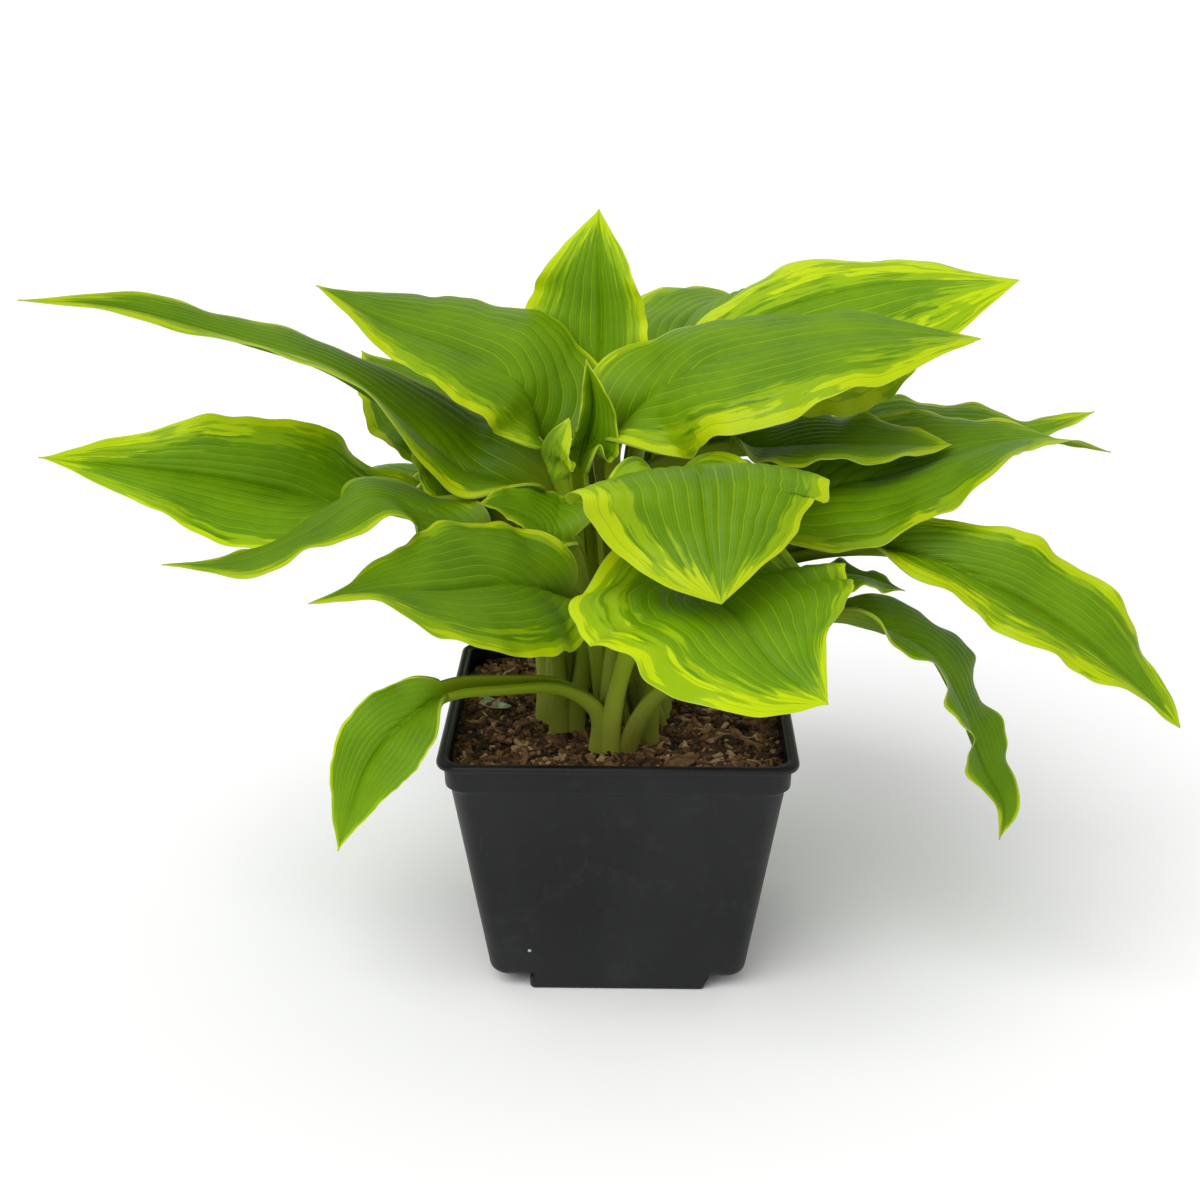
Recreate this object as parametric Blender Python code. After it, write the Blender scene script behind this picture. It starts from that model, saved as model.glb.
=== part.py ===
"""Potted hosta: a square nursery pot, its potting mix and a crown of variegated leaves."""

import math

import bmesh
import bpy
import numpy as np

MM = 0.001

# Pot
RIM_HALF = 75.0
POT_HEIGHT = 114.0
BASE_HALF = 54.0
FOOT_HALF = 38.0
FOOT_STEP = 6.0
WALL = 1.6
LIP = 3.6
COLLAR = 10.0
DRAIN_RADIUS = 4.5

# Potting mix: level near the wall, with a low mound at the crown
MIX_EDGE = 101.4
MIX_CENTRE = 102.8
GAP = 0.3

# Leaves: half widths, thicknesses and angles of the channelled stalk, and where the blade opens and thins
STALK_HALF = 3.2
STALK_FOOT = 4.8
STALK_WING = 5.0
STALK_THICK = 3.0
STALK_ABOVE = 0.1
STALK_FOLD = 50.0
STALK_CURL = -25.0
BLADE_OPENS = 0.18
BLADE_THINS = 0.25
LEAST_HALF = 0.35
BLADE_THICK = 0.9
STALK_ROWS = 5
BLADE_ROWS = 11
ACROSS = 4


def clear():
    for old in list(bpy.data.objects):
        bpy.data.objects.remove(old, do_unlink=True)


def material(name, colour, roughness):
    """A plain Principled material, with its colour in linear light."""
    made = bpy.data.materials.new(name)
    made.use_nodes = True
    shader = made.node_tree.nodes["Principled BSDF"]
    shader.inputs["Base Color"].default_value = (*colour, 1.0)
    shader.inputs["Roughness"].default_value = roughness
    shader.inputs["Metallic"].default_value = 0.0
    return made


def mesh_object(name, points, faces, look=None):
    """A closed mesh from points in mm."""
    mesh = bpy.data.meshes.new(name)
    mesh.from_pydata([tuple(MM * float(v) for v in p) for p in points], [], faces)
    work = bmesh.new()
    work.from_mesh(mesh)
    bmesh.ops.recalc_face_normals(work, faces=work.faces)
    work.to_mesh(mesh)
    work.free()
    made = bpy.data.objects.new(name, mesh)
    bpy.context.collection.objects.link(made)
    if look:
        mesh.materials.append(look)
    mesh.shade_smooth()
    mesh.set_sharp_from_angle(angle=math.radians(35))
    return made


# ---------------------------------------------------------------- pot and mix


def rounded_square(half, radius, height, corner_steps=4):
    """One level ring of a square with round corners."""
    ring = []
    centre = half - radius
    for corner in range(4):
        start = math.radians(90 * corner)
        cx = centre * (1 if corner in (0, 3) else -1)
        cy = centre * (1 if corner in (0, 1) else -1)
        for step in range(corner_steps + 1):
            turn = start + math.radians(90) * step / corner_steps
            ring.append((cx + radius * math.cos(turn), cy + radius * math.sin(turn), height))
    return ring


def loft(name, rings, look=None):
    """A solid through level rings, closed flat at both ends."""
    count = len(rings[0])
    points = [p for ring in rings for p in ring]
    faces = []
    for level in range(len(rings) - 1):
        for i in range(count):
            j = (i + 1) % count
            low = level * count
            faces.append((low + i, low + j, low + count + j, low + count + i))
    faces.append(tuple(range(count)))
    faces.append(tuple(range((len(rings) - 1) * count, len(rings) * count)))
    return mesh_object(name, points, faces, look)


def outside_half(height):
    """Half width of the pot's outer face at a height."""
    return BASE_HALF + (RIM_HALF - LIP - 1.0 - BASE_HALF) * height / (POT_HEIGHT - COLLAR)


def cutter(name, size, centre, cylinder=False):
    if cylinder:
        bpy.ops.mesh.primitive_cylinder_add(
            vertices=16, radius=MM * size[0], depth=MM * size[2], location=[MM * v for v in centre]
        )
    else:
        bpy.ops.mesh.primitive_cube_add(size=1, location=[MM * v for v in centre])
        bpy.context.object.scale = [MM * v for v in size]
    made = bpy.context.object
    bpy.ops.object.transform_apply(location=True, rotation=True, scale=True)
    made.name = name
    made.hide_render = True
    made.display_type = "WIRE"
    return made


def cut(target, tool):
    step = target.modifiers.new("cut " + tool.name, "BOOLEAN")
    step.operation = "DIFFERENCE"
    step.solver = "EXACT"
    step.object = tool
    bpy.context.view_layer.objects.active = target
    bpy.ops.object.modifier_apply(modifier=step.name)


def corner_blocks(target, inner, top, tag):
    """Cuts the four bottom corners away, outside of inner and under top."""
    side = 40.0
    for sx in (-1, 1):
        for sy in (-1, 1):
            centre = (sx * (inner + side / 2), sy * (inner + side / 2), top - side / 2)
            block = cutter(f"{tag} {sx} {sy}", (side, side, side), centre)
            cut(target, block)
            bpy.data.objects.remove(block, do_unlink=True)


def build_pot(look):
    collar_foot = POT_HEIGHT - LIP - COLLAR
    under_lip = POT_HEIGHT - LIP
    body = [
        rounded_square(outside_half(0) - 1.0, 8, 0),
        rounded_square(outside_half(1), 9, 1),
        rounded_square(outside_half(collar_foot - 2), 10, collar_foot - 2),
        rounded_square(RIM_HALF - LIP + 1.0, 10, collar_foot),
        rounded_square(RIM_HALF - LIP + 1.6, 10, under_lip - 0.6),
        rounded_square(RIM_HALF - 0.6, 11, under_lip),
        rounded_square(RIM_HALF, 12, under_lip + LIP / 2),
        rounded_square(RIM_HALF - 0.8, 11, POT_HEIGHT - 0.6),
        rounded_square(RIM_HALF - 2.4, 10, POT_HEIGHT),
        rounded_square(RIM_HALF - LIP - 0.4, 9, POT_HEIGHT - 0.8),
    ]
    pot = loft("pot", body, look)
    corner_blocks(pot, FOOT_HALF, FOOT_STEP, "foot corner")

    def inside_half(height):
        return outside_half(height) - WALL

    hollow = [
        rounded_square(inside_half(WALL), 7, WALL),
        rounded_square(inside_half(collar_foot - 3), 8, collar_foot - 3),
        rounded_square(RIM_HALF - LIP - 0.6, 8.5, collar_foot),
        rounded_square(RIM_HALF - LIP - 0.4, 9, POT_HEIGHT + 4),
    ]
    room = loft("room", hollow)
    corner_blocks(room, FOOT_HALF - WALL, FOOT_STEP + WALL, "room corner")
    cut(pot, room)
    bpy.data.objects.remove(room, do_unlink=True)

    hole_at = (FOOT_HALF + outside_half(FOOT_STEP)) / 2 - 0.8
    for sx in (-1, 1):
        for sy in (-1, 1):
            centre = (sx * hole_at, sy * hole_at, FOOT_STEP)
            drill = cutter(f"drill {sx} {sy}", (DRAIN_RADIUS, 0, 12), centre, cylinder=True)
            cut(pot, drill)
            bpy.data.objects.remove(drill, do_unlink=True)
    return pot


def build_mix(look):
    """The root ball, shaped by the pot, with a gently mounded top."""
    low = WALL + GAP
    lip_foot = POT_HEIGHT - LIP - COLLAR
    rings = [
        rounded_square(outside_half(low) - WALL - GAP, 7, low),
        rounded_square(outside_half(lip_foot - 3) - WALL - GAP, 8, lip_foot - 3),
        rounded_square(RIM_HALF - LIP - 0.6 - GAP, 8.5, lip_foot),
        rounded_square(RIM_HALF - LIP - 0.6 - GAP, 8.5, MIX_EDGE),
        rounded_square(58, 14, MIX_EDGE + 0.7),
        rounded_square(36, 16, MIX_CENTRE - 0.3),
        rounded_square(16, 10, MIX_CENTRE),
    ]
    mix = loft("potting_mix", rings, look)
    corner_blocks(mix, FOOT_HALF - WALL - GAP, FOOT_STEP + WALL + GAP, "mix corner")
    return mix


# --------------------------------------------------------------------- leaves


def smooth(x):
    x = np.clip(x, 0, 1)
    return x * x * (3 - 2 * x)


def curve_through(points, steps=24):
    """A centripetal Catmull-Rom curve through the points."""
    points = np.asarray(points, float)
    points = np.vstack([2 * points[0] - points[1], points, 2 * points[-1] - points[-2]])
    out = []
    for i in range(1, len(points) - 2):
        a, b, c, d = points[i - 1 : i + 3]
        t1 = np.linalg.norm(b - a) ** 0.5
        t2 = t1 + np.linalg.norm(c - b) ** 0.5
        t3 = t2 + np.linalg.norm(d - c) ** 0.5
        for t in np.linspace(t1, t2, steps, endpoint=False):
            ab = (t1 - t) / t1 * a + t / t1 * b
            bc = (t2 - t) / (t2 - t1) * b + (t - t1) / (t2 - t1) * c
            cd = (t3 - t) / (t3 - t2) * c + (t - t2) / (t3 - t2) * d
            abc = (t2 - t) / t2 * ab + t / t2 * bc
            bcd = (t3 - t) / (t3 - t1) * bc + (t - t1) / (t3 - t1) * cd
            out.append((t2 - t) / (t2 - t1) * abc + (t - t1) / (t2 - t1) * bcd)
    out.append(points[-2])
    return np.array(out)


def evenly(curve, count):
    """The curve again as count points at equal steps of length."""
    length = np.concatenate([[0], np.cumsum(np.linalg.norm(np.diff(curve, axis=0), axis=1))])
    at = np.linspace(0, length[-1], count)
    return np.stack([np.interp(at, length, curve[:, k]) for k in range(3)], -1)


def leaf_surface(stalk, blade, width, fold, curl, roll, full, wave, facing, wing):
    """A leaf's middle sheet, and how far each skin stands off it: a channelled stalk opens into a blade."""
    route = curve_through(stalk + blade)
    joint = len(stalk) * 24
    stalk_line = evenly(route[: joint + 1], STALK_ROWS + 1)
    blade_line = evenly(route[joint:], BLADE_ROWS + 1)
    line = np.vstack([stalk_line[:-1], blade_line])
    rows = len(line)
    t = np.concatenate([np.zeros(STALK_ROWS), np.linspace(0, 1, BLADE_ROWS + 1)])
    s = np.concatenate([np.linspace(0, 1, STALK_ROWS + 1)[:-1], np.ones(BLADE_ROWS + 1)])

    along = np.gradient(line, axis=0)
    along /= np.linalg.norm(along, axis=1)[:, None]
    away = np.asarray(blade[-1], float) - np.asarray(stalk[0], float)
    if facing is not None:
        away = np.array([math.cos(math.radians(facing)), math.sin(math.radians(facing)), 0])
    level = np.array([-away[1], away[0], 0.0])
    level /= np.linalg.norm(level)
    side = level - (along @ level)[:, None] * along
    side /= np.linalg.norm(side, axis=1)[:, None]
    up = np.cross(along, side)

    start, middle, end = roll
    turn = np.where(
        t < 0.5,
        start + (middle - start) * smooth(t / 0.5),
        middle + (end - middle) * smooth((t - 0.5) / 0.5),
    )
    turn = np.radians(np.where(t > 0, turn, start * smooth(s)))[:, None]
    side, up = side * np.cos(turn) + up * np.sin(turn), up * np.cos(turn) - side * np.sin(turn)

    belly, taper = full
    peak = belly / (belly + taper)
    outline = (t / peak) ** belly * ((1 - t) / (1 - peak)) ** taper
    stalk_half = STALK_HALF + (STALK_FOOT - STALK_HALF) * (1 - smooth(s / 0.5))
    stalk_half = stalk_half + (wing - STALK_HALF) * smooth((s - 0.35) / 0.65)
    open_up = smooth(t / BLADE_OPENS)
    lift = np.radians(STALK_FOLD + (fold - STALK_FOLD) * open_up)
    bend = np.radians(STALK_CURL + (curl - STALK_CURL) * open_up)
    height, waves, phase = wave
    fade = np.sin(math.pi * np.clip(t, 0, 1)) ** 0.7

    grid = np.zeros((rows, ACROSS + 1, 3))
    for column, v in enumerate(np.linspace(-1, 1, ACROSS + 1)):
        u = abs(v)
        wide = width[0] if v > 0 else width[1]
        half = np.maximum(stalk_half * (1 - t) + wide * outline, LEAST_HALF)
        q = (np.arange(12) + 0.5) / 12 * u
        slope = lift[:, None] - bend[:, None] * q[None, :] ** 1.3
        out = half * np.cos(slope).mean(1) * u
        rise = half * np.sin(slope).mean(1) * u
        shift = phase if v > 0 else phase + 2.1
        rise = rise + height * u**2.5 * np.sin(2 * math.pi * waves * t + shift) * fade
        grid[:, column] = line + side * (math.copysign(1, v) * out)[:, None] + up * rise[:, None]
    normal = np.cross(np.gradient(grid, axis=0), np.gradient(grid, axis=1))
    normal /= np.maximum(np.linalg.norm(normal, axis=2), 1e-9)[:, :, None]
    opened = smooth(t / BLADE_THINS)
    thick = STALK_THICK + (BLADE_THICK - STALK_THICK) * opened
    above = thick * (STALK_ABOVE + (0.5 - STALK_ABOVE) * opened)
    return grid, normal * above[:, None, None], normal * (thick - above)[:, None, None]


def leaf(name, look, stalk, blade, width, fold=18, curl=30, roll=(0, 0, 0), full=(0.8, 1.15),
         wave=(2.0, 3.5, 0.0), facing=None, wing=STALK_WING):
    """One leaf, stalk and blade grown as one, as a closed sheet with an upper and a lower skin."""
    grid, above, below = leaf_surface(
        stalk, blade, width, fold, curl, roll, full, wave, facing, wing
    )
    rows, columns, _ = grid.shape
    points = np.vstack([(grid + above).reshape(-1, 3), (grid - below).reshape(-1, 3)])
    under = rows * columns
    faces = []
    for i in range(rows - 1):
        for j in range(columns - 1):
            a = i * columns + j
            # both skins split along the same diagonal, so that a twisted sheet never crosses itself
            for split in ((a, a + columns, a + columns + 1), (a, a + columns + 1, a + 1)):
                faces.append(split)
                faces.append(tuple(under + k for k in reversed(split)))
    edge = [i * columns for i in range(rows)]
    edge += [(rows - 1) * columns + j for j in range(1, columns)]
    edge += [i * columns + columns - 1 for i in range(rows - 2, -1, -1)]
    edge += [j for j in range(columns - 2, 0, -1)]
    for a, b in zip(edge, edge[1:] + edge[:1]):
        faces.append((a, a + under, b + under, b))
    return mesh_object(name, points, faces, look)


def leaf_green(name, shade=1.0):
    return material(name + " green", (0.13 * shade, 0.26 * shade, 0.012 * shade), 0.42)


def front_shoot():
    """The leaves of the nearest shoot, lowest first."""
    leaf("leaf_low_left", leaf_green("low left"),
         [(-16, -33, 105), (-13, -40, 126), (-24, -46, 137), (-49, -54, 140)],
         [(-71, -62, 140), (-88, -70, 131), (-101, -76, 116), (-109, -82, 97), (-114, -86, 81)],
         (17, 14), fold=24, curl=20, roll=(-30, -40, -20), wave=(1.0, 2.0, 0.6))
    leaf("leaf_front_left", leaf_green("front left", 0.90),
         [(-10, -28, 105), (-9, -32, 135), (-12, -39, 160)],
         [(-22, -54, 179), (-39, -75, 193), (-66, -94, 197), (-95, -107, 200), (-116, -115, 198)],
         (39, 33), fold=20, curl=40, roll=(-40, -25, 14), full=(0.75, 1.05), wave=(2.0, 3.5, 2.2))
    leaf("leaf_front_centre", leaf_green("front centre"),
         [(2, -32, 105), (-1, -40, 157), (9, -46, 194)],
         [(21, -56, 224), (28, -85, 244), (31, -116, 246), (33, -126, 229), (38, -144, 209)],
         (45, 44), fold=2, curl=28, roll=(-2, 0, 22), full=(1.0, 1.0), wave=(2.5, 3.5, -0.6), wing=10.0)
    leaf("leaf_front_right", leaf_green("front right"),
         [(4, -40, 105), (2, -50, 143), (12, -60, 171)],
         [(25, -74, 195), (33, -100, 198), (45, -120, 196), (59, -134, 182), (78, -143, 170)],
         (54, 52), fold=10, curl=24, roll=(0, 5, 16), wave=(2.8, 3.5, 0.8), wing=7.0)
    leaf("leaf_low_right", leaf_green("low right"),
         [(13, -34, 105), (20, -45, 135), (50, -48, 160), (74, -54, 171)],
         [(90, -58, 174), (108, -59, 169), (126, -60, 159), (138, -61, 140), (150, -62, 112),
          (160, -66, 94), (158, -70, 81)],
         (21, 14), fold=30, curl=42, roll=(4, 4, 60), full=(0.9, 1.2), wave=(3.2, 4.0, 3.6))
    leaf("leaf_right_small", leaf_green("right small"),
         [(22, -22, 105), (19, -33, 142), (39, -44, 167)],
         [(62, -48, 180), (80, -50, 189), (99, -52, 189), (116, -54, 184)],
         (9, 25), fold=24, curl=40, wave=(2.0, 3.5, 2.5))
    leaf("leaf_inner_front", leaf_green("inner front", 0.80),
         [(-16, -18, 105), (-16, -25, 158), (-18, -32, 184)],
         [(-22, -38, 198), (-34, -41, 208), (-45, -46, 215), (-56, -54, 220)],
         (5, 21), fold=5, curl=20, roll=(-50, -45, -30), full=(0.35, 1.2), wave=(0.8, 3.5, 2.2))
    leaf("leaf_young_curl", leaf_green("young curl", 1.20),
         [(-13, -9, 105), (-18, -10, 164), (-21, -12, 202)],
         [(-27, -14, 220), (-32, -17, 231), (-29, -20, 240), (-21, -21, 247)],
         (16, 4), fold=58, curl=26, full=(0.9, 0.7), wave=(0.5, 3.5, 0.0), facing=180)
    leaf("leaf_young_centre", leaf_green("young centre", 1.15),
         [(-4, -8, 105), (-9, -8, 163), (-12, -10, 200)],
         [(-17, -15, 222), (-15, -9, 231), (-11, -13, 250), (-14, -13, 270)],
         (10, 18), fold=58, curl=0, roll=(3, 12, 6), wave=(2.0, 3.5, 2.0), facing=80, wing=4.0)


def left_shoot():
    """The leaves that lean to -X."""
    leaf("leaf_left_low", leaf_green("left low", 0.85),
         [(-27, -21, 105), (-29, -24, 151), (-46, -30, 175)],
         [(-57, -43, 199), (-84, -48, 217), (-99, -60, 224), (-120, -72, 214), (-148, -82, 204),
          (-178, -84, 203)],
         (19, 22), fold=4, curl=28, roll=(-30, 4, -4), full=(0.72, 1.05), wave=(2.2, 3.5, 0.5), wing=5.0)
    leaf("leaf_inner_left", leaf_green("inner left", 0.75),
         [(-22, -14, 105), (-25, -14, 156), (-42, -18, 185)],
         [(-59, -20, 203), (-72, -14, 216), (-81, -8, 225), (-89, -1, 233)],
         (9, 17), fold=20, curl=45, roll=(-24, -16, -14), wave=(1.0, 3.5, 0.0), wing=7.5)
    leaf("leaf_left_big", leaf_green("left big", 0.90),
         [(-40, 5, 105), (-37, 4, 140), (-52, -2, 176)],
         [(-80, 10, 193), (-120, -4, 205), (-163, -15, 218), (-202, -21, 225), (-240, -28, 231)],
         (47, 27), fold=32, curl=10, roll=(8, -45, -40), full=(0.8, 1.25), wave=(2.3, 3.5, 4.8))
    leaf("leaf_far_left", leaf_green("far left", 0.75),
         [(-31, -5, 105), (-29, -6, 160), (-29, -8, 196)],
         [(-34, -9, 211), (-47, -10, 216), (-64, -11, 221), (-84, -14, 238), (-117, -20, 265),
          (-155, -30, 281), (-197, -46, 297), (-233, -58, 302)],
         (22, 28), fold=22, curl=26, roll=(-38, -2, -30), full=(0.45, 1.25), wave=(1.2, 4.0, 4.7),
         wing=6.0)
    leaf("leaf_upper_left", leaf_green("upper left"),
         [(-26, 12, 105), (-24, 8, 158), (-27, 8, 194)],
         [(-33, 0, 231), (-41, -7, 258), (-65, -6, 271), (-98, -8, 284), (-124, -13, 300)],
         (26, 50), fold=10, curl=36, roll=(-60, -24, -22), full=(0.76, 1.2), wave=(1.0, 3.5, 1.5))
    leaf("leaf_left_back", leaf_green("left back", 0.75),
         [(-36, 16, 105), (-33, 18, 154), (-46, 22, 190)],
         [(-57, 30, 211), (-74, 42, 225), (-95, 56, 238), (-119, 76, 254)],
         (30, 30), fold=14, curl=25, roll=(-10, -10, 0), wing=8.0)
    leaf("leaf_back_left", leaf_green("back left"),
         [(-30, 26, 105), (-38, 40, 146), (-50, 58, 178)],
         [(-62, 74, 188), (-88, 104, 191), (-116, 132, 178), (-146, 156, 148)],
         (40, 38), fold=14, curl=35, roll=(6, 6, 6), wave=(2.5, 3.5, 1.0))
    leaf("leaf_back_left_low", leaf_green("back left low", 0.85),
         [(-18, 36, 105), (-26, 58, 128), (-38, 82, 148)],
         [(-50, 100, 156), (-64, 124, 152), (-76, 146, 134), (-82, 160, 110)],
         (28, 27), fold=16, wave=(2.0, 3.5, 3.0))


def back_shoot():
    """The leaves that lean to +X and +Y."""
    leaf("leaf_top_centre", leaf_green("top centre", 1.10),
         [(0, 10, 105), (-9, 14, 156), (-9, 18, 201)],
         [(-8, 28, 230), (-9, 37, 255), (-9, 42, 280), (-10, 45, 303), (-10, 52, 322)],
         (32, 18), fold=18, curl=16, roll=(-15, -15, -10), full=(0.88, 1.12),
         wave=(2.0, 3.5, 3.9), facing=90, wing=7.0)
    leaf("leaf_back_right_up", leaf_green("back right up"),
         [(9, 25, 105), (2, 30, 151), (11, 40, 194)],
         [(14, 50, 224), (21, 72, 253), (31, 98, 266), (46, 129, 267), (62, 166, 256)],
         (38, 36), fold=18, curl=25, roll=(0, -15, 34), wave=(2.5, 3.5, 0.2))
    leaf("leaf_upper_right_back", leaf_green("upper right back", 1.10),
         [(16, 14, 105), (3, 16, 155), (5, 18, 201)],
         [(12, 19, 238), (32, 23, 266), (72, 32, 284), (119, 40, 293), (171, 39, 294)],
         (28, 56), fold=4, curl=46, roll=(3, 34, 22), full=(0.95, 1.0), wave=(2.2, 3.5, 2.7))
    leaf("leaf_upper_right_front", leaf_green("upper right front", 1.05),
         [(14, 2, 105), (1, 0, 161), (0, -4, 203)],
         [(-1, -4, 234), (25, -16, 265), (60, -24, 277), (96, -28, 284), (145, -27, 282)],
         (43, 40), fold=6, curl=45, roll=(45, 18, 10), full=(0.85, 1.02), wave=(2.3, 3.5, 4.4), wing=8.0)
    leaf("leaf_right_upper", leaf_green("right upper", 0.80),
         [(21, 9, 105), (11, 4, 163), (9, 0, 210), (25, -5, 224)],
         [(48, -9, 230), (69, -15, 234), (96, -22, 237), (136, -27, 238)],
         (20, 27), fold=16, curl=18, roll=(11, 8, 18), full=(0.9, 1.1), wave=(1.7, 3.5, 0.9), wing=7.0)
    leaf("leaf_right_big", leaf_green("right big", 0.75),
         [(26, -2, 105), (18, -8, 152), (38, -16, 184)],
         [(64, -22, 201), (84, -28, 219), (116, -25, 226), (145, -25, 236), (170, -22, 239),
          (202, -22, 234)],
         (33, 44), fold=20, curl=28, roll=(32, 19, -20), full=(0.72, 1.4), wave=(2.6, 3.5, 4.0), wing=6.0)
    leaf("leaf_right_back", leaf_green("right back"),
         [(28, 14, 105), (24, 20, 154), (46, 30, 193)],
         [(79, 36, 213), (115, 40, 223), (150, 42, 224), (181, 42, 225), (208, 40, 236)],
         (30, 30), fold=15, curl=20, roll=(10, 10, 0), wave=(2.5, 3.5, 0.0))
    leaf("leaf_far_right", leaf_green("far right"),
         [(22, -12, 105), (13, -24, 147), (42, -36, 180), (74, -46, 196)],
         [(102, -52, 201), (125, -64, 201), (153, -71, 190), (184, -77, 172), (208, -83, 152),
          (222, -90, 140)],
         (22, 17), fold=26, curl=24, roll=(30, 38, 8), full=(0.9, 0.85), wave=(3.4, 3.5, 6.0))
    leaf("leaf_back_centre", leaf_green("back centre"),
         [(-6, 32, 105), (-8, 44, 150), (-12, 62, 196)],
         [(-14, 82, 226), (-16, 112, 240), (-18, 150, 236), (-14, 192, 212)],
         (42, 40), fold=14, curl=35, wave=(2.5, 3.5, 2.0))
    leaf("leaf_back_right_low", leaf_green("back right low", 0.85),
         [(26, 28, 105), (38, 46, 138), (54, 68, 166)],
         [(70, 92, 182), (94, 120, 184), (116, 144, 166), (132, 162, 134)],
         (38, 36), fold=14, curl=35, roll=(-6, -8, -8), wave=(2.5, 3.5, 4.0))
    leaf("leaf_back_low", leaf_green("back low", 0.85),
         [(8, 38, 105), (14, 58, 132), (18, 84, 156)],
         [(20, 106, 164), (24, 138, 158), (26, 166, 132), (24, 184, 98)],
         (31, 30), fold=16, wave=(2.0, 3.5, 5.0))


def main():
    clear()
    build_pot(material("pot plastic", (0.020, 0.022, 0.024), 0.45))
    build_mix(material("potting mix", (0.055, 0.035, 0.018), 0.95))
    front_shoot()
    left_shoot()
    back_shoot()


main()
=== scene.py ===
"""A hosta in its square nursery pot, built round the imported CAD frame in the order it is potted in."""

import math

import bmesh
import bpy
import numpy as np
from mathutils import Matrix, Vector, noise


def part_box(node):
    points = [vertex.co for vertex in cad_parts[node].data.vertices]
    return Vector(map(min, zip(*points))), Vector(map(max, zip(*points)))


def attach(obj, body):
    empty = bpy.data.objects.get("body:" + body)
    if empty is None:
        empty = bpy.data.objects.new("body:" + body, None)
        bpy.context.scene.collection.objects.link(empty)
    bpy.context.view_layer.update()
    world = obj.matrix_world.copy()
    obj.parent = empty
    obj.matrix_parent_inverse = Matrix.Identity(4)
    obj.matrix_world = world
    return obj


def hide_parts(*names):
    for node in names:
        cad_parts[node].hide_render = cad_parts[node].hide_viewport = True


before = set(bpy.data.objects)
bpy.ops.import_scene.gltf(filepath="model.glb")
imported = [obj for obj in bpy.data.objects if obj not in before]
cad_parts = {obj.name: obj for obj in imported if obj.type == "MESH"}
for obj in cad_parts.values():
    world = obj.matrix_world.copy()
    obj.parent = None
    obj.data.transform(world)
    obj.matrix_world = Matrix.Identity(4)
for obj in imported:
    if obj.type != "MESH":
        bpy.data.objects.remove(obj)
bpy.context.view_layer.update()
bpy.ops.object.select_all(action="DESELECT")


# --- Nursery pot
# A thin black polypropylene pot, drawn over a mould from one sheet. It has a rolled lip over a plain
# collar, straight walls that narrow to a flat foot, and four raised corners with a drain hole in each.
# Handling has left the satin walls with faint grey smears and dust.

MM = 0.001
pot_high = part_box("pot")[1]
rim_half = pot_high.x / MM
pot_height = pot_high.z / MM
base_half = 54.0
foot_half = 38.0
foot_step = 6.0
pot_wall = 1.6
lip_depth = 3.6
collar_depth = 10.0
under_lip = pot_height - lip_depth
under_collar = under_lip - collar_depth
drain_radius = 4.5
foot_round = 2.2
corner_round = 4.6
weld = 0.02


def wall_half(height):
    """Half width of the pot's outer face at a height, in mm."""
    return base_half + (rim_half - lip_depth - 1.0 - base_half) * height / (pot_height - collar_depth)


def draw_up(name, rings, corner):
    """A closed body drawn up through (half width, height) rings from a round-cornered square."""
    half, height = rings[0]
    bpy.ops.mesh.primitive_plane_add(size=2 * half * MM, location=(0, 0, height * MM))
    made = bpy.context.object
    made.name = name
    bpy.ops.object.transform_apply(location=True, rotation=True, scale=True)
    bpy.ops.object.mode_set(mode="EDIT")
    bpy.ops.mesh.bevel(offset=corner * MM, segments=10, affect="VERTICES")
    for wide, level in rings[1:]:
        bpy.ops.mesh.extrude_region_move(
            TRANSFORM_OT_translate={"value": (0, 0, (level - height) * MM)}
        )
        grow = wide / half
        bpy.ops.transform.resize(value=(grow, grow, 1), center_override=(0, 0, level * MM))
        half, height = wide, level
    bpy.ops.mesh.select_all(action="SELECT")
    bpy.ops.mesh.normals_make_consistent(inside=False)
    bpy.ops.object.mode_set(mode="OBJECT")
    return made


def cut_away(target, tool):
    """Takes the tool's shape out of the target, and the tool with it."""
    step = target.modifiers.new("cut", "BOOLEAN")
    step.operation = "DIFFERENCE"
    step.solver = "EXACT"
    step.object = tool
    bpy.ops.object.select_all(action="DESELECT")
    bpy.context.view_layer.objects.active = target
    bpy.ops.object.modifier_apply(modifier=step.name)
    bpy.data.objects.remove(tool, do_unlink=True)


def raise_corners(target, inner, top):
    """Cuts the four bottom corners away outside inner and under top."""
    side = 40.0
    for sx in (-1, 1):
        for sy in (-1, 1):
            centre = (sx * (inner + side / 2) * MM, sy * (inner + side / 2) * MM, (top - side / 2) * MM)
            bpy.ops.mesh.primitive_cube_add(size=side * MM, location=centre)
            cut_away(target, bpy.context.object)


def ease_edges(target, wanted, width, steps):
    """Rounds the sharp edges of target whose two ends, in mm, are both wanted, and welds the slivers."""
    bpy.ops.object.select_all(action="DESELECT")
    bpy.context.view_layer.objects.active = target
    target.select_set(True)
    bpy.ops.object.mode_set(mode="EDIT")
    bpy.ops.mesh.select_mode(type="EDGE")
    bpy.ops.mesh.select_all(action="DESELECT")
    work = bmesh.from_edit_mesh(target.data)
    for edge in work.edges:
        sharp = len(edge.link_faces) == 2 and edge.calc_face_angle(0) > math.radians(40)
        edge.select_set(sharp and all(wanted(v.co / MM) for v in edge.verts))
    bmesh.update_edit_mesh(target.data)
    bpy.ops.mesh.bevel(offset=width * MM, segments=steps, affect="EDGES", clamp_overlap=True)
    bpy.ops.mesh.select_mode(type="VERT")
    bpy.ops.mesh.select_all(action="SELECT")
    bpy.ops.mesh.remove_doubles(threshold=weld * MM)
    bpy.ops.mesh.dissolve_degenerate(threshold=weld / 2 * MM)
    bpy.ops.object.mode_set(mode="OBJECT")


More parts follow.
